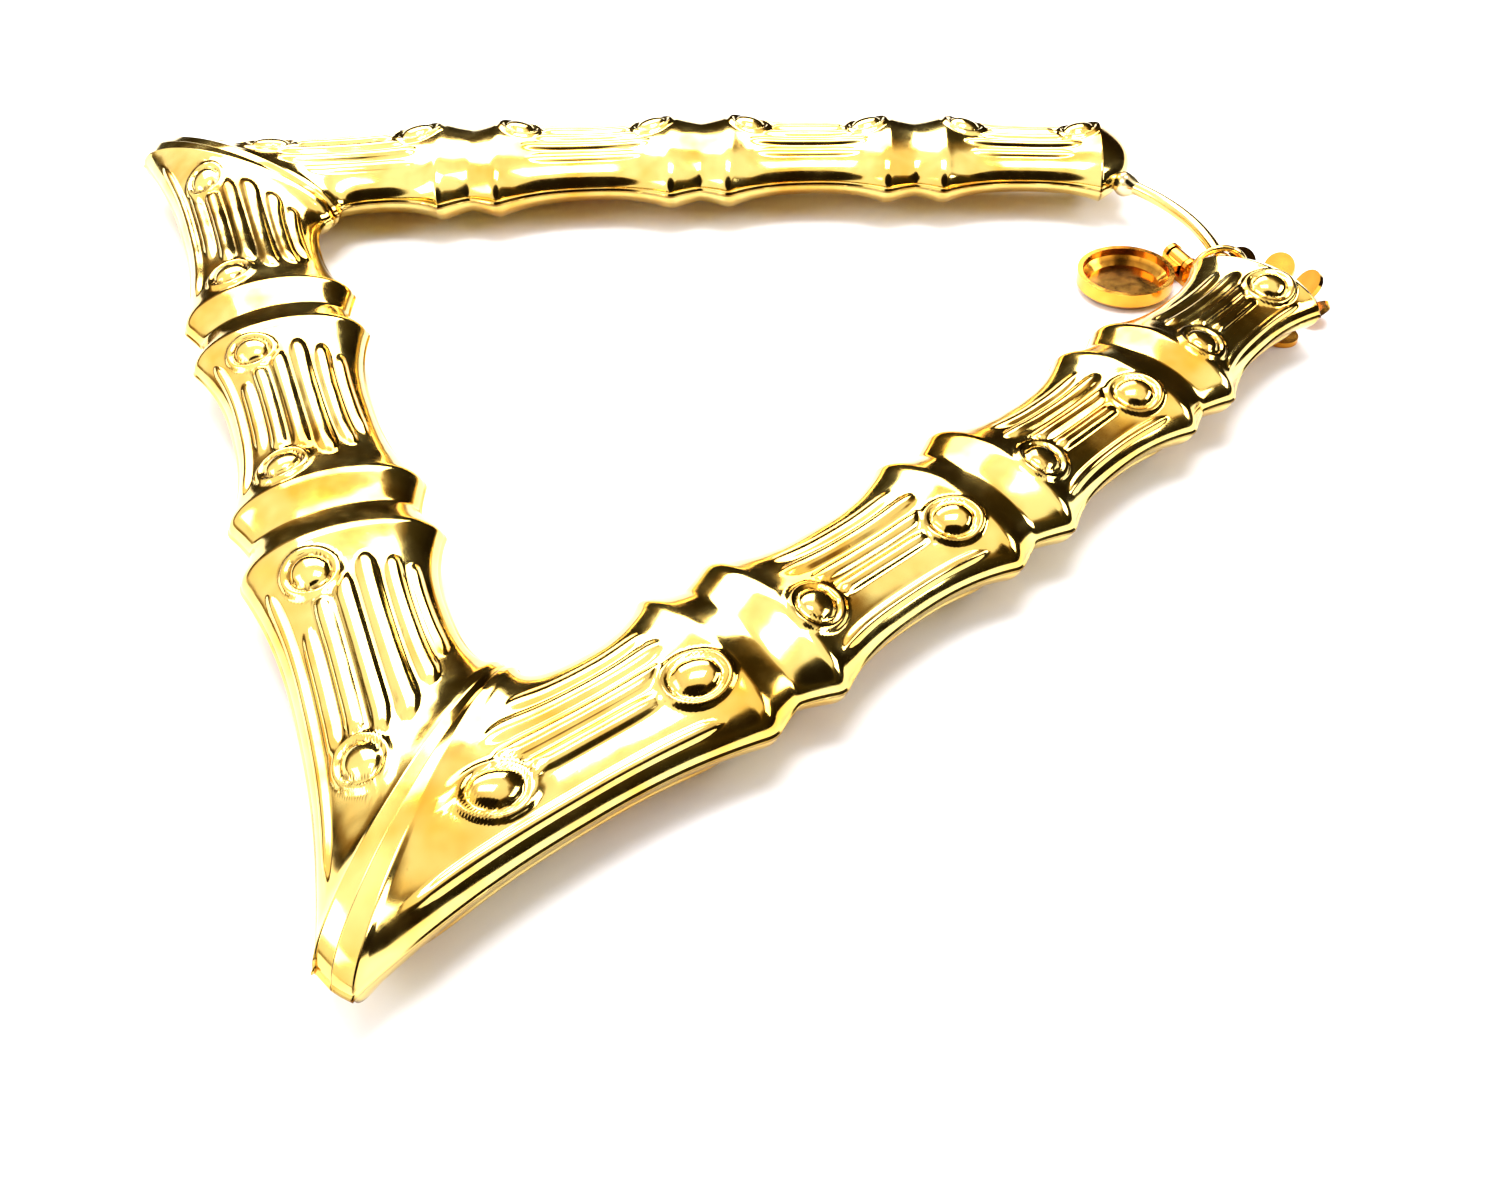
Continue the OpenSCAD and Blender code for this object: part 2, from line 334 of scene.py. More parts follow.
@dataclass(frozen=True)
class StampedSheet(GoldPlate):
    """Plated sheet straight from the stamping tool: warmer and softer, with faint tool lines."""

    name: str = "stamped_sheet"
    bright: str = "#f8b848"
    deep: str = "#e08c20"
    groove_shade: str = "#5d2f0c"
    roughness: float = 0.15
    ripple_mm: float = 1.9
    ripple_depth_mm: float = 0.03
    scratch_mm: float = 0.4
    grain: Grain = Grain.STAMPED


@dataclass(frozen=True)
class PaleTable:
    """Matt white laminate lit from above: white round the earring, and painted greyer away from the middle, as
    painted shade where the light falls off.
    """

    name: str = "pale_table"
    colour: str = "#eeeef4"
    far_shade: str = "#6a675f"
    lit_mm: tuple[float, float] = (170.0, 700.0)
    roughness: float = 0.7

    def material(self) -> bpy.types.Material:
        """Build the table's node material.

        Returns:
            The new material.
        """
        mat = bpy.data.materials.new(self.name)
        mat.use_nodes = True
        tree = mat.node_tree
        tree.nodes.clear()
        place = add_node(tree, "ShaderNodeTexCoord").outputs["Object"]
        # Painted shade: the table's colour turns from white to the far colour with distance from the middle, where
        # the light falls off
        reach = add_node(tree, "ShaderNodeVectorMath", {"operation": "LENGTH"}, {0: place})
        fall = add_node(
            tree,
            "ShaderNodeMapRange",
            {"From Min": self.lit_mm[0] * MM, "From Max": self.lit_mm[1] * MM},
            {"Value": reach.outputs["Value"]},
        )
        colour = add_node(
            tree,
            "ShaderNodeMix",
            {"data_type": "RGBA", 6: hex_to_linear(self.colour), 7: hex_to_linear(self.far_shade)},
            {0: fall.outputs["Result"]},
        )
        shader = add_node(
            tree,
            "ShaderNodeBsdfPrincipled",
            {"Roughness": self.roughness},
            {"Base Color": colour.outputs[2]},
        )
        add_node(tree, "ShaderNodeOutputMaterial", links={"Surface": shader.outputs["BSDF"]})
        return mat


def mesh_object(
    name: str, points: np.ndarray, faces: Sequence[Sequence[int]], smooth: bool = True
) -> bpy.types.Object:
    """Make a mesh object from points in the part's frame.

    Args:
        name: Name of the object.
        points: Points in millimetres, one row each.
        faces: Corner numbers of each face.
        smooth: Whether its faces shade smoothly.

    Returns:
        The linked object.
    """
    mesh = bpy.data.meshes.new(name)
    mesh.from_pydata((points * MM).tolist(), [], [tuple(f) for f in faces])
    mesh.update()
    if smooth:
        mesh.shade_smooth()
    obj = bpy.data.objects.new(name, mesh)
    bpy.context.scene.collection.objects.link(obj)
    return obj


def tube_faces(rings: int, count: int, closed: bool) -> list[list[int]]:
    """List the faces of a skin over rings of points.

    Args:
        rings: Number of rings.
        count: Points in a ring.
        closed: Whether the last ring joins the first one.

    Returns:
        Quads, with an end face on each open end.
    """
    faces = []
    for i in range(rings if closed else rings - 1):
        a, b = i * count, ((i + 1) % rings) * count
        for j in range(count):
            k = (j + 1) % count
            faces.append([a + j, a + k, b + k, b + j])
    if not closed:
        faces.append(list(range(count))[::-1])
        faces.append([(rings - 1) * count + j for j in range(count)])
    return faces


@dataclass(frozen=True)
class LegNode:
    """A joint of the bamboo along a leg, in mm.

    Attributes:
        place: Distance of its valley's middle from the corner.
        gap: Distance of each of its two lips from that middle.
        lip_r: Radius of the lips.
    """

    place: float
    gap: float
    lip_r: float


@dataclass
class Segment:
    """A length of tube between two lips, in mm along its arm.

    Attributes:
        start: Place of the first lip.
        end: Place of the second lip.
        first_r: Radius of the first lip.
        second_r: Radius of the second lip.
        first_bud: Distance of the first bud's middle from the first lip.
        second_bud: Distance of the second bud's middle from the second lip.
    """

    start: float
    end: float
    first_r: float
    second_r: float
    first_bud: float
    second_bud: float


@dataclass(frozen=True)
class Rib:
    """A raised strip along a segment.

    Attributes:
        angle: Its middle, in degrees round the section from the inner seam.
        half: Half its width, in degrees.
        base: Share of the ribs' height on the base.
        leg: Share of the ribs' height on the legs.
        start: Where it starts, as a share of the segment's length.
        end: Where it ends.
    """

    angle: float
    half: float
    base: float
    leg: float
    start: float
    end: float


@dataclass
class HoopTube:
    """The hollow bamboo tube: two halves stamped from sheet and soldered along a seam.

    Lengths are in mm and angles in degrees. Waist, valley and flatness are shares of a radius, and
    dome_share and ring_share are shares of the buds' height. The fields that end in curve are the
    powers that a form swells or falls by.

    Attributes:
        half_span: Distance of each corner from the base's middle.
        leg_angle: Angle between base and leg at their corner.
        leg_bend: How much a leg turns inwards in each mm of its length.
        base_node: Distance of the base's two joints from its middle.
        bud_inset: Distance of a bud's middle from its lip.
        corner_fall: How far the tube thins from a corner's lip to the mitre.
        corner_inner_gap: Distance of a corner's lip from the mitre on the hoop's inner side.
        floor_gap: Height of the hoop above the table; the part rests on its clip.
    """

    half_span: float = 36.0
    leg_angle: float = 75.4
    leg_bend: float = 0.178
    leg_length: float = 70.7
    base_node: float = 11.96
    flatness: float = 0.47
    waist: float = 0.74
    valley: float = 0.84
    rib_height: float = 0.32
    bud_height: float = 0.5
    bud_inset: float = 1.7
    base_bud_shift: float = 0.8
    corner_bud_shift: float = 2.4
    bud_angle: float = 112.0
    bud_r: float = 1.85
    dome_r: float = 1.16
    dome_share: float = 1.08
    ring_share: float = 0.5
    ring_shift: float = 0.03
    bud_clear: float = 0.2
    bud_blend: float = 0.3
    lip_round: float = 0.34
    waist_curve: float = 2.5
    valley_curve: float = 1.25
    cap_curve: float = 0.45
    corner_fall: float = 0.1
    corner_ease: float = 0.5
    corner_inner_gap: float = 0.15
    rib_taper: float = 2.6
    rib_taper_curve: float = 1.6
    rib_crown: float = 2.4
    seam_rim: float = 0.12
    seam_half: float = 3.4
    base_lip_r: float = 6.1
    base_lip_gap: float = 2.75
    corner_r: float = 6.7
    corner_lip_gap: float = 1.1
    base_swell: float = -0.05
    leg_swell: float = 0.05
    corner_valley: float = 0.12
    end_lip_r: float = 5.0
    cap_length: float = 2.42
    floor_gap: float = 0.08
    points_round: int = 208

    def __post_init__(self) -> None:
        """Work out the places that follow from the sizes."""
        self.leg_nodes = [LegNode(19.6, 2.36, 6.3), LegNode(38.4, 2.35, 6.0), LegNode(55.9, 2.29, 5.6)]
        self.ribs = [
            Rib(43, 7.4, 0.8, 0.0, 0.26, 0.78),
            Rib(60, 7.5, 1.0, 0.5, 0.17, 0.84),
            Rib(78, 7.6, 1.0, 1.0, 0.13, 0.88),
            Rib(95, 7.4, 1.0, 1.0, 0.19, 0.85),
            Rib(112, 7.3, 1.0, 1.0, 0.20, 0.80),
            Rib(129, 7.0, 0.6, 0.0, 0.28, 0.72),
            Rib(147, 7.0, 0.9, 0.9, 0.09, 0.90),
        ]
        self.mitre = 1 / math.tan(math.radians(self.leg_angle / 2))
        self.bend_r = 180 / (math.pi * self.leg_bend)
        self.seam_z = self.flatness * self.corner_r + self.floor_gap
        self.base_first = self.half_span - self.base_node - self.base_lip_gap
        self.leg_first = self.leg_nodes[0].place - self.leg_nodes[0].gap
        self.corner_lean = 1 - (self.corner_lip_gap - self.corner_inner_gap) / (self.corner_r * self.mitre)

    def heading(self, s: np.ndarray) -> np.ndarray:
        """Return a leg's heading in radians at distances from its corner."""
        return np.radians(self.leg_angle - self.leg_bend * s)

    def leg_place(self, s: np.ndarray) -> tuple[np.ndarray, np.ndarray]:
        """Find points of the right leg's axis.

        Args:
            s: Distances from the corner in mm.

        Returns:
            The points' X and Y, with the base's axis at Y 0.
        """
        start, h = math.radians(self.leg_angle), self.heading(s)
        return (
            self.half_span - self.bend_r * (math.sin(start) - np.sin(h)),
            self.bend_r * (np.cos(h) - math.cos(start)),
        )

    def segments(self, arm: Arm) -> list[Segment]:
        """List an arm's segments.

        Args:
            arm: Base or leg; the base is listed from the right corner.

        Returns:
            Its segments in order.
        """
        corner_bud = self.bud_inset + self.corner_bud_shift
        if arm is Arm.BASE:
            span = 2 * self.half_span
            second = self.half_span - self.base_node + self.base_lip_gap
            lip, bud = self.base_lip_r, self.bud_inset + self.base_bud_shift
            return [
                Segment(self.corner_lip_gap, self.base_first, self.corner_r, lip, corner_bud, bud),
                Segment(second, span - second, lip, lip, bud, bud),
                Segment(span - self.base_first, span - self.corner_lip_gap, lip, self.corner_r, bud, corner_bud),
            ]
        nodes = self.leg_nodes
        starts = [self.corner_lip_gap] + [node.place + node.gap for node in nodes]
        ends = [node.place - node.gap for node in nodes] + [self.leg_length]
        radii = [self.corner_r] + [node.lip_r for node in nodes] + [self.end_lip_r]
        buds = [corner_bud] + [self.bud_inset] * len(nodes)
        return [
            Segment(a, b, r0, r1, bud, self.bud_inset)
            for a, b, r0, r1, bud in zip(starts, ends, radii, radii[1:], buds)
        ]

    def stations(self, arm: Arm) -> np.ndarray:
        """Choose where the rings of an arm's skin go, close together at lips and buds.

        Args:
            arm: Which arm.

        Returns:
            Distances from the arm's corner in mm.
        """
        places = [0.0]
        for seg in self.segments(arm):
            half = (seg.end - seg.start) / 2
            for lip, way, inset in ((seg.start, 1, seg.first_bud), (seg.end, -1, seg.second_bud)):
                near = [0.0, 0.12, 0.24, 0.36]
                before = list(np.arange(0.5, inset - self.bud_r - 0.2, 0.5))
                bud = [d for d in np.linspace(inset - self.bud_r, inset + self.bud_r, 23) if d > 0.45]
                middle = list(np.arange(inset + self.bud_r + 0.3, half + 0.25, 0.45))
                places += [lip + way * d for d in near + before + bud + middle]
        edges = sorted(places)
        gaps = [(seg.end, after.start) for seg, after in zip(self.segments(arm), self.segments(arm)[1:])]
        gaps.append((0.0, self.corner_lip_gap))
        if arm is Arm.BASE:
            gaps.append((2 * self.half_span - self.corner_lip_gap, 2 * self.half_span))
        else:
            gaps.append((self.leg_length, self.leg_length + self.cap_length))
        for a, b in gaps:
            edges += list(np.linspace(a, b, 25))
        return np.array(sorted(set(round(float(v), 4) for v in edges)))

    def profile(self, arm: Arm, s: np.ndarray) -> tuple[np.ndarray, np.ndarray]:
        """Work out the tube's radius and which segment each station is in.

        Args:
            arm: Which arm.
            s: Distances from the corner in mm.

        Returns:
            Radii, and segment numbers with -1 between segments.
        """
        owner = self._radius(arm, s)[1]
        offsets = np.linspace(-self.lip_round, self.lip_round, 7)
        rounded = np.mean([self._radius(arm, s + offset)[0] for offset in offsets], axis=0)
        lips = [place for seg in self.segments(arm) for place in (seg.start, seg.end)]
        ends = (self.corner_lip_gap, 2 * self.half_span - self.corner_lip_gap, self.leg_length)
        # The lips next to a mitre or an end cap stay sharp: the next surface starts right behind them
        far = self.lip_round * 4
        free = [place for place in lips if min(abs(place - end) for end in ends) > far]
        gap = np.min([np.abs(s - place) for place in free], axis=0)
        return np.where(gap < 2 * self.lip_round, rounded, self._radius(arm, s)[0]), owner

    def _radius(self, arm: Arm, s: np.ndarray) -> tuple[np.ndarray, np.ndarray]:
        """Work out the radius as if every lip had a sharp edge.

        Args:
            arm: Which arm.
            s: Distances from the corner in mm.

        Returns:
            Radii, and segment numbers with -1 between segments.
        """
        segs = self.segments(arm)
        radius = np.zeros_like(s)
        owner = np.full(len(s), -1)
        for i, seg in enumerate(segs):
            inside = (s >= seg.start - 1e-6) & (s <= seg.end + 1e-6)
            t = (s[inside] - seg.start) / (seg.end - seg.start)
            lip = seg.first_r + (seg.second_r - seg.first_r) * t
            radius[inside] = lip * (self.waist + (1 - self.waist) * np.abs(2 * t - 1) ** self.waist_curve)
            owner[inside] = i
        for seg, after in zip(segs, segs[1:]):
            inside = (s > seg.end + 1e-6) & (s < after.start - 1e-6)
            d = np.abs(2 * (s[inside] - seg.end) / (after.start - seg.end) - 1)
            radius[inside] = after.first_r * (self.valley + (1 - self.valley) * d ** self.valley_curve)
        corner = s < self.corner_lip_gap - 1e-6
        radius[corner] = self.corner_r - self.corner_fall + self.corner_fall * (s[corner] / self.corner_lip_gap)
        if arm is Arm.BASE:
            back = 2 * self.half_span - s
            corner = back < self.corner_lip_gap - 1e-6
            share = back[corner] / self.corner_lip_gap
            radius[corner] = self.corner_r - self.corner_fall + self.corner_fall * share
        else:
            past = s > self.leg_length + 1e-6
            share = np.clip((s[past] - self.leg_length) / (self.cap_length + 0.03), 0, 1)
            radius[past] = self.end_lip_r * (1 - share) ** self.cap_curve
        return radius, owner

    def relief(
        self, arm: Arm, seg: Segment, s: np.ndarray, angle: np.ndarray, radius: np.ndarray, lean: np.ndarray
    ) -> np.ndarray:
        """Work out how far ribs and buds stand out of a segment.

        Args:
            arm: Which arm.
            seg: The segment.
            s: Distances along the arm, as a column.
            angle: Angles round the section in degrees, as a row.
            radius: Radii at the stations, as a column.
            lean: How far the stations lean into the mitre at their corner, as a column.

        Returns:
            Heights in mm for every station and angle.
        """
        length = seg.end - seg.start
        t = (s - seg.start) / length
        height = np.zeros((s.shape[0], angle.shape[1]))
        for rib in self.ribs:
            across = np.abs(angle - rib.angle) / rib.half
            taper = self.rib_taper / length
            over = np.clip(np.maximum(rib.start + taper - t, t - rib.end + taper) / taper, 0, 1)
            off = np.hypot(across, over ** self.rib_taper_curve)
            share = rib.base if arm is Arm.BASE else rib.leg
            crown = np.clip(1 - off ** self.rib_crown, 0, 1)
            height = np.maximum(height, self.rib_height * share * crown)
        a, b = np.radians(angle), math.radians(self.bud_angle)
        sideways = radius * (math.cos(b) - np.cos(a))
        upwards = self.flatness * radius * (np.sin(a) - math.sin(b))
        skew = sideways * self.mitre * lean * np.where(s > self.half_span, -1, 1)
        first = np.hypot(s - seg.start - seg.first_bud - skew, np.hypot(sideways, upwards))
        second = np.hypot(seg.end - s - seg.second_bud + skew, np.hypot(sideways, upwards))
        d = np.minimum(first, second)
        dome = self.dome_share * np.sqrt(np.clip(1 - (d / self.dome_r) ** 2, 0, 1))
        ring_middle = (self.bud_r + self.dome_r) / 2 + self.ring_shift
        ring_half = (self.bud_r - self.dome_r) / 2
        ring = self.ring_share * np.cos(np.clip((d - ring_middle) / ring_half, -1, 1) * math.pi / 2)
        bud = self.bud_height * np.maximum(dome, ring)
        near_bud = np.clip((self.bud_r + self.bud_clear - d) / self.bud_blend, 0, 1)
        return np.maximum(height * (1 - near_bud), bud)

    def skin(self, arm: Arm) -> np.ndarray:
        """Work out the points of an arm's skin.

        Args:
            arm: Which arm.

        Returns:
            An array of rings by points by coordinates, in mm.
        """
        s = self.stations(arm)
        radius, owner = self.profile(arm, s)
        if arm is Arm.BASE:
            distance, first, swell = np.minimum(s, 2 * self.half_span - s), self.base_first, self.base_swell
        else:
            distance, first, swell = s, self.leg_first, self.leg_swell
        lean = np.clip(1 - distance / first, 0, 1)
        lip = self.corner_lip_gap
        eased = lip + self.corner_ease
        near = distance < eased
        after = 1 - eased / first
        lean[near] = np.interp(distance[near], [0, lip, eased], [1, self.corner_lean, after])
        half = self.points_round // 2
        upper = np.linspace(0, 180, half + 1)
        angle = np.concatenate([upper, upper[-2:0:-1]])[None, :]
        side = np.concatenate([np.ones(half + 1), -np.ones(half - 1)])[None, :]
        seam = np.minimum(angle, 180 - angle) / self.seam_half
        rise = self.seam_rim * np.sqrt(np.clip(1 - seam ** 2, 0, 1)) * np.ones((len(s), 1))
        for i, seg in enumerate(self.segments(arm)):
            rows = owner == i
            column = [values[rows][:, None] for values in (s, radius, lean)]
            rise[rows] += self.relief(arm, seg, column[0], angle, column[1], column[2])
        if arm is not Arm.BASE:
            rise[s > self.leg_length] *= (radius[s > self.leg_length] / self.end_lip_r)[:, None]
        bulge = swell * lean ** 4
        low = distance < lip
        bulge[low] = np.interp(distance[low], [0, lip], [-self.corner_valley, swell])
        a = np.radians(angle)
        r = radius[:, None]
        normal = np.stack([-self.flatness * np.cos(a), np.sin(a)])
        normal = normal / np.linalg.norm(normal, axis=0)
        outer = (1 - np.cos(a)) / 2
        u = -r * np.cos(a) * (1 + bulge[:, None] * outer) + normal[0] * rise
        z = self.seam_z + side * (self.flatness * r * np.sin(a) + normal[1] * rise)
        return self._placed(arm, s, u, z, lean)

    def _placed(self, arm: Arm, s: np.ndarray, u: np.ndarray, z: np.ndarray, lean: np.ndarray) -> np.ndarray:
        """Put section points on an arm's axis.

        Args:
            arm: Which arm.
            s: Distances from the corner.
            u: Places across the tube, outwards positive.
            z: Heights.
            lean: How far each ring leans into the mitre.

        Returns:
            Points in the part's frame, in mm.
        """
        along = -u * self.mitre * lean[:, None]
        if arm is Arm.BASE:
            sign = np.where(s <= self.half_span, 1.0, -1.0)[:, None]
            x = self.half_span - s[:, None] - sign * along
            y = -u
        else:
            ax, ay = self.leg_place(s)
            h = self.heading(s)[:, None]
            x = ax[:, None] - np.cos(h) * along + np.sin(h) * u
            y = ay[:, None] + np.sin(h) * along + np.cos(h) * u
            if arm is Arm.LEFT_LEG:
                x = -x
        return np.stack([x, y - MIDDLE_Y, z], axis=-1)

    def build(self) -> list[bpy.types.Object]:
        """Build the three arms of the tube.

        Returns:
            One object for each arm.
        """
        self.objects = []
        for arm in Arm:
            rings = self.skin(arm)
            faces = tube_faces(rings.shape[0], rings.shape[1], closed=False)
            if arm is not Arm.LEFT_LEG:
                faces = [face[::-1] for face in faces]
            obj = mesh_object(f"hoop_{arm.value}", rings.reshape(-1, 3), faces)
            self.objects.append(obj)
        return self.objects

    def dress(self, finish: GoldPlate) -> None:
        """Give the arms their finish and join them to the hoop's body.

        Args:
            finish: The plated sheet's finish.
        """
        mat = finish.material()
        for obj in self.objects:
            obj.data.materials.append(mat)
            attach(obj, "hoop")
            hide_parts("hoop_body")
            LOG.info("%s: %d faces", obj.name, len(obj.data.polygons))


@dataclass
class EndWire:
    """The wire that closes the hoop, and the lumps of solder that hold it in the caps."""

    tube: HoopTube
    wire_d: float = 1.0
    rise: float = 2.1
    inset_along: float = 0.62
    inset_across: float = 2.72
    bead_r: float = 0.95
    bead_back: float = 1.75
    bead_length: float = 2.3
    bead_behind: float = 0.45
    bead_neck: float = 0.96
    bead_lumps: float = 0.07
    bead_curve: float = 1.3
    bead_rows: int = 18
    bead_points: int = 24
    steps: int = 140
    points_round: int = 28

    def __post_init__(self) -> None:
        """Work out the wire's arc from the leg's end."""
        end = np.array([self.tube.leg_length])
        x, y = self.tube.leg_place(end)
        h = float(self.tube.heading(end)[0])
        self.half = float(x[0]) - math.sin(h) * self.inset_across - math.cos(h) * self.inset_along
        self.end_y = float(y[0]) - math.cos(h) * self.inset_across + math.sin(h) * self.inset_along
        self.arc_r = (self.half ** 2 + self.rise ** 2) / (2 * self.rise)
        self.centre_y = self.end_y + self.rise - self.arc_r
        self.reach = math.asin(self.half / self.arc_r)

    def point(self, turn: float) -> Vector:
        """Return the point of the wire's middle line at an angle from the hoop's middle, in mm."""
        return Vector(
            (self.arc_r * math.sin(turn), self.centre_y + self.arc_r * math.cos(turn) - MIDDLE_Y, self.tube.seam_z)
        )

    def build(self) -> list[bpy.types.Object]:
        """Build the wire and its two beads.

        Returns:
            The new objects.
        """
        turns = np.linspace(-self.reach, self.reach, self.steps)
        angles = np.linspace(0, 2 * math.pi, self.points_round, endpoint=False)
        points = []
        for turn in turns:
            middle = self.point(turn)
            across = Vector((math.sin(turn), math.cos(turn), 0))
            for a in angles:
                points.append(middle + self.wire_d / 2 * (math.cos(a) * across + math.sin(a) * Vector((0, 0, 1))))
        faces = tube_faces(self.steps, self.points_round, closed=False)
        self.wire = mesh_object("end_wire", np.array(points), faces)
        self.beads = [self._bead(side) for side in (-1, 1)]
        return [self.wire, *self.beads]

    def _bead(self, side: int) -> bpy.types.Object:
        """Build one lump of solder round the wire where it leaves a cap.

        Args:
            side: 1 for the right cap, -1 for the left one.

        Returns:
            The bead's object.
        """
        turn = side * (self.reach - self.bead_back / self.arc_r)
        middle = self.point(turn)
        along = Vector((math.cos(turn), -math.sin(turn), 0)) * side
        across = Vector((math.sin(turn), math.cos(turn), 0))
        rows, count = self.bead_rows, self.bead_points
        points = []
        for i in range(rows):
            t = i / (rows - 1)
            place = (t - self.bead_behind) * self.bead_length
            belly = math.sin(math.pi * t)
            swell = self.wire_d / 2 * self.bead_neck + (self.bead_r - self.wire_d / 2) * belly ** self.bead_curve
            for j in range(count):
                a = 2 * math.pi * j / count
                lump = swell * (1 + self.bead_lumps * math.sin(3 * a + 5 * t) * belly)
                offset = math.cos(a) * across + math.sin(a) * Vector((0, 0, 1))
                points.append(middle + place * along + lump * offset)
        name = "solder_right" if side > 0 else "solder_left"
        return mesh_object(name, np.array(points), tube_faces(rows, count, closed=False))

    def dress(self, wire_finish: GoldPlate, bead_finish: GoldPlate) -> None:
        """Give wire and beads their finishes; they are part of the hoop's solid.

        Args:
            wire_finish: The wire's finish.
            bead_finish: The solder's finish.
        """
        self.wire.data.materials.append(wire_finish.material())
        bead = bead_finish.material()
        for obj in self.beads:
            obj.data.materials.append(bead)
        for obj in [self.wire, *self.beads]:
            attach(obj, "hoop")
            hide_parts("hoop_body")
            LOG.info("%s: %d faces", obj.name, len(obj.data.polygons))


@dataclass
class ClipPieces:
    """The ring, plate, pin and lever: their CAD solids, shaded smoothly, with fine bevels."""

    bevel_mm: float = 0.06
    edge_turn: float = 35.0
    segments: int = 3

    def build(self) -> list[bpy.types.Object]:
        """Shade the pieces smoothly and round their edges.

        Returns:
            The pieces' objects.
        """
        self.stamped = [frame["nodes"][n] for n in ("clip_plate", "clip_paddle")]
        self.drawn = [frame["nodes"][n] for n in ("jump_ring", "hinge_pin")]
        smooth = self._smoothing()
        for obj in [*self.stamped, *self.drawn]:
            obj.modifiers.new("smooth", "NODES").node_group = smooth
            bevel = obj.modifiers.new("edge", "BEVEL")
            bevel.width = self.bevel_mm * MM
            bevel.segments = self.segments
            bevel.limit_method = "ANGLE"
            bevel.angle_limit = math.radians(self.edge_turn)
            bevel.harden_normals = True
        return [*self.stamped, *self.drawn]

    def _smoothing(self) -> bpy.types.NodeTree:
        """Make the modifier group that shades a solid's faces smoothly and leaves its mesh alone.

        Returns:
            The geometry node group.
        """
        group = bpy.data.node_groups.new("smooth", "GeometryNodeTree")
        for way in ("INPUT", "OUTPUT"):
            group.interface.new_socket("Geometry", in_out=way, socket_type="NodeSocketGeometry")
        solid = add_node(group, "NodeGroupInput").outputs["Geometry"]
        shaded = add_node(group, "GeometryNodeSetShadeSmooth", links={"Geometry": solid})
        add_node(group, "NodeGroupOutput", links={"Geometry": shaded.outputs["Geometry"]})
        return group

    def dress(self, sheet: GoldPlate, wire: GoldPlate) -> None:
        """Give the clip's pieces their finishes, in the slots that their solids came with.

        Args:
            sheet: Finish of the plate and the lever.
            wire: Finish of the ring and the pin.
        """
        for pieces, finish in ((self.stamped, sheet), (self.drawn, wire)):
            mat = finish.material()
            for obj in pieces:
                for slot in obj.material_slots:
                    slot.material = mat
                LOG.info("%s: %d faces in %d slots", obj.name, len(obj.data.polygons), len(obj.material_slots))


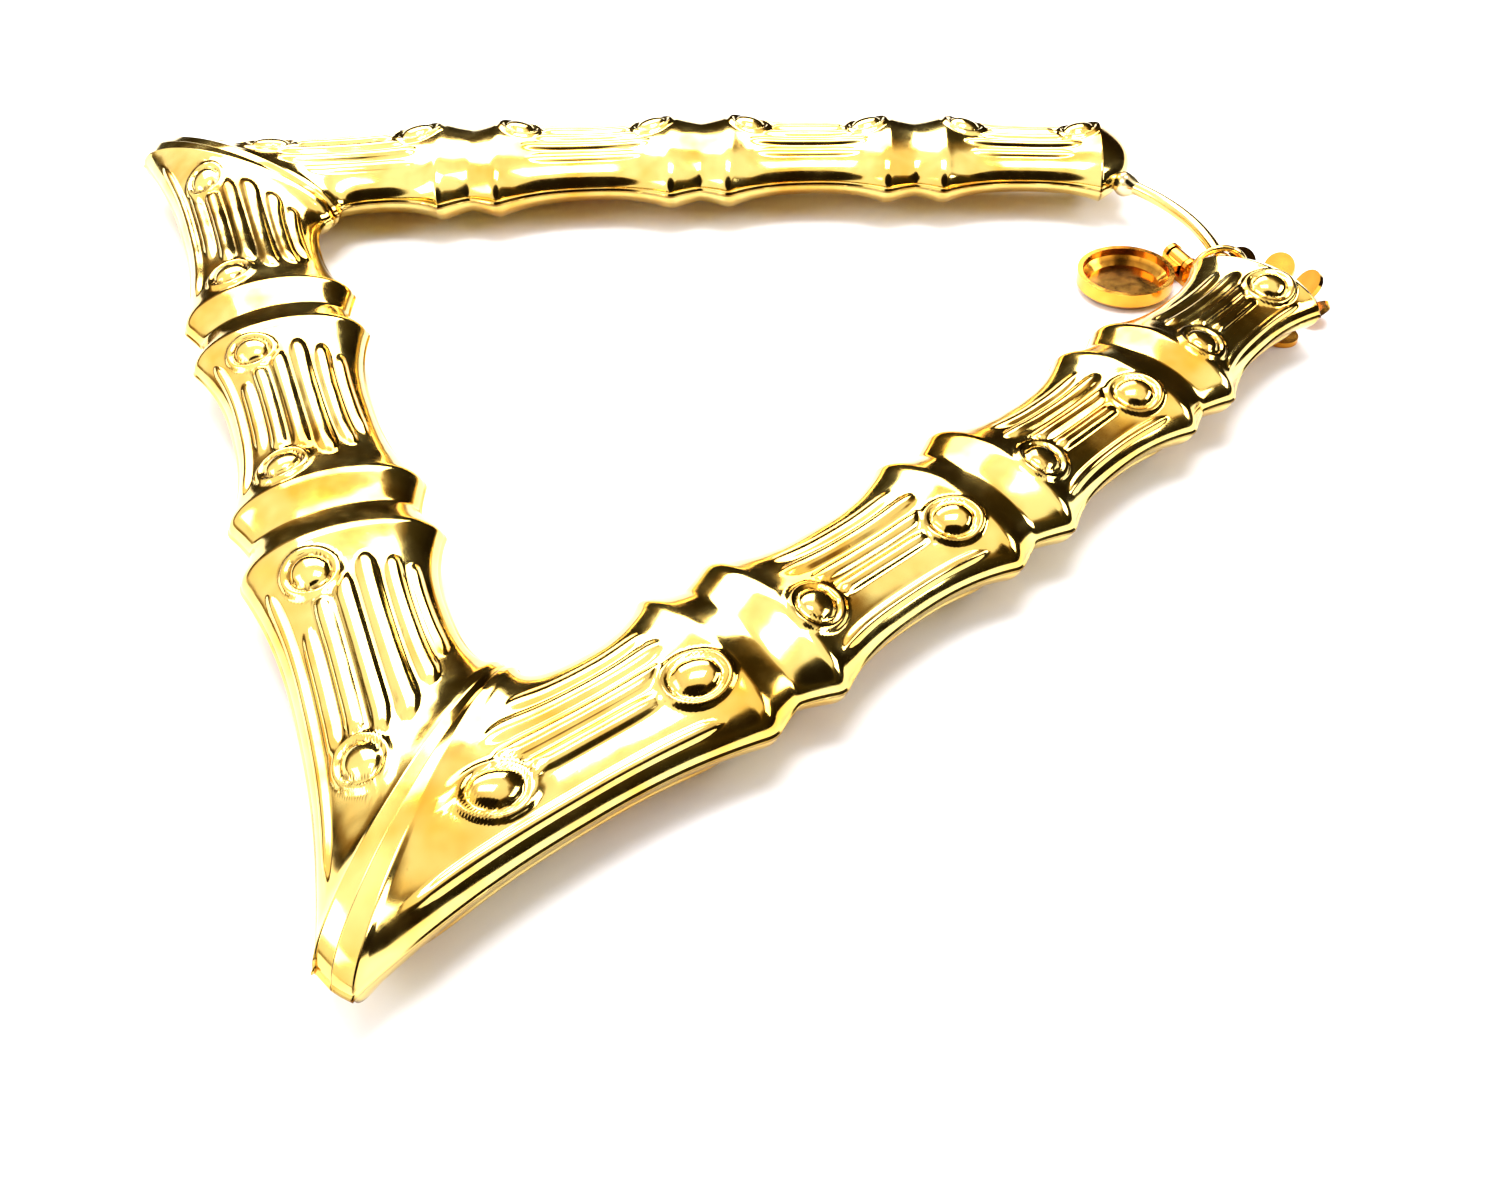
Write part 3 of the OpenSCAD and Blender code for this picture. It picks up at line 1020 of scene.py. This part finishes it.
@dataclass
class Studio:
    """The pale table, soft lights, dark surroundings and camera."""

    camera_mm: tuple[float, float, float] = (87.820, -34.405, 63.496)
    camera_turn: tuple[float, float, float] = (47.4414, 1.5241, 68.7686)
    lens_mm: float = 37.2
    table_half_mm: float = 2500.0
    bright_side: tuple[float, float, float] = (0.0, -0.42, 0.9)
    dark_side: tuple[float, float, float] = (0.71, -0.27, 0.65)
    clutter_share: float = 0.3
    sky_strength: float = 1.3

    def build(self) -> None:
        """Build the table, lights, surroundings and camera."""
        side = self.table_half_mm
        corners = np.array([[-side, -side, 0], [side, -side, 0], [side, side, 0], [-side, side, 0]], float)
        self.table = mesh_object("table", corners, [[0, 1, 2, 3]], smooth=False)
        self._lights()
        self._surroundings()
        self._camera()

    def _lights(self) -> None:
        """Hang the softboxes."""
        boxes = [
            ("top_softbox", (-40, 20, 420), (0, 0, 0), (200, 130), 1.3),
            ("back_softbox", (-430, 60, 360), (-20, 0, 0), (500, 270), 3.2),
            ("side_softbox", (-60, -380, 240), (0, 0, 0), (280, 150), 0.8),
            ("right_softbox", (150, 340, 230), (0, 10, 0), (260, 120), 0.9),
        ]
        for name, place, target, size, power in boxes:
            data = bpy.data.lights.new(name, "AREA")
            data.shape = "RECTANGLE"
            data.size, data.size_y = size[0] * MM, size[1] * MM
            data.energy = power
            obj = bpy.data.objects.new(name, data)
            obj.location = Vector(place) * MM
            aim = Vector(target) * MM - obj.location
            obj.rotation_euler = aim.to_track_quat("-Z", "Y").to_euler()
            bpy.context.scene.collection.objects.link(obj)

    def _surroundings(self) -> None:
        """Paint a room that is bright overhead and behind, and dark on the near side."""
        world = bpy.data.worlds.new("room")
        bpy.context.scene.world = world
        world.use_nodes = True
        tree = world.node_tree
        tree.nodes.clear()
        place = add_node(tree, "ShaderNodeTexCoord").outputs["Generated"]
        clutter = add_node(tree, "ShaderNodeTexNoise", {"Scale": 2.1, "Detail": 2.0}, {"Vector": place})
        height = add_node(
            tree, "ShaderNodeVectorMath", {"operation": "DOT_PRODUCT", 1: self.bright_side}, {0: place}
        )
        toward = add_node(
            tree, "ShaderNodeVectorMath", {"operation": "DOT_PRODUCT", 1: self.dark_side}, {0: place}
        )
        near_dark = add_node(
            tree,
            "ShaderNodeMapRange",
            {"From Min": 0.82, "From Max": 0.93, "To Min": 0.0, "To Max": -0.9},
            {"Value": toward.outputs["Value"]},
        )
        shaded = add_node(
            tree,
            "ShaderNodeMath",
            {"operation": "ADD"},
            {0: height.outputs["Value"], 1: near_dark.outputs["Result"]},
        )
        mixed = add_node(
            tree,
            "ShaderNodeMath",
            {"operation": "MULTIPLY_ADD", 1: self.clutter_share},
            {0: clutter.outputs["Fac"], 2: shaded.outputs["Value"]},
        )
        colour = add_node(tree, "ShaderNodeValToRGB", links={"Fac": mixed.outputs["Value"]})
        set_stops(
            colour.color_ramp,
            [(0.0, "#1a140a"), (0.47, "#332b14"), (0.56, "#8a7044"), (0.63, "#f6f2e8"), (1.0, "#ffffff")],
        )
        sky = add_node(
            tree, "ShaderNodeBackground", {"Strength": self.sky_strength}, {"Color": colour.outputs["Color"]}
        )
        add_node(tree, "ShaderNodeOutputWorld", links={"Surface": sky.outputs["Background"]})

    def _camera(self) -> None:
        """Set the camera where the photograph was taken from."""
        data = bpy.data.cameras.new("camera")
        data.lens = self.lens_mm
        data.sensor_width = 36.0
        data.clip_start = 0.005
        camera = bpy.data.objects.new("camera", data)
        turn = [math.radians(v) for v in self.camera_turn]
        camera.matrix_world = Matrix.LocRotScale(Vector(self.camera_mm) * MM, Euler(turn), None)
        bpy.context.scene.collection.objects.link(camera)
        bpy.context.scene.camera = camera

    def dress(self, table: PaleTable) -> None:
        """Finish the table and set how light turns to picture colours.

        Args:
            table: The table's finish.
        """
        self.table.data.materials.append(table.material())
        view = bpy.context.scene.view_settings
        view.view_transform = "Standard"
        view.look = "None"


def main() -> None:
    """Build every sub-assembly in order, then finish the scene."""
    logging.basicConfig(level=logging.INFO, format="%(message)s")
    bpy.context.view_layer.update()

    hoop = HoopTube()
    hoop.build()
    hoop.dress(GoldPlate())

    wire = EndWire(hoop)
    wire.build()
    wire.dress(DrawnWire(), SolderBead())

    clip = ClipPieces()
    clip.build()
    clip.dress(StampedSheet(), DrawnWire(name="ring_wire"))

    studio = Studio()
    studio.build()
    studio.dress(PaleTable())


if __name__ == "__main__":
    main()
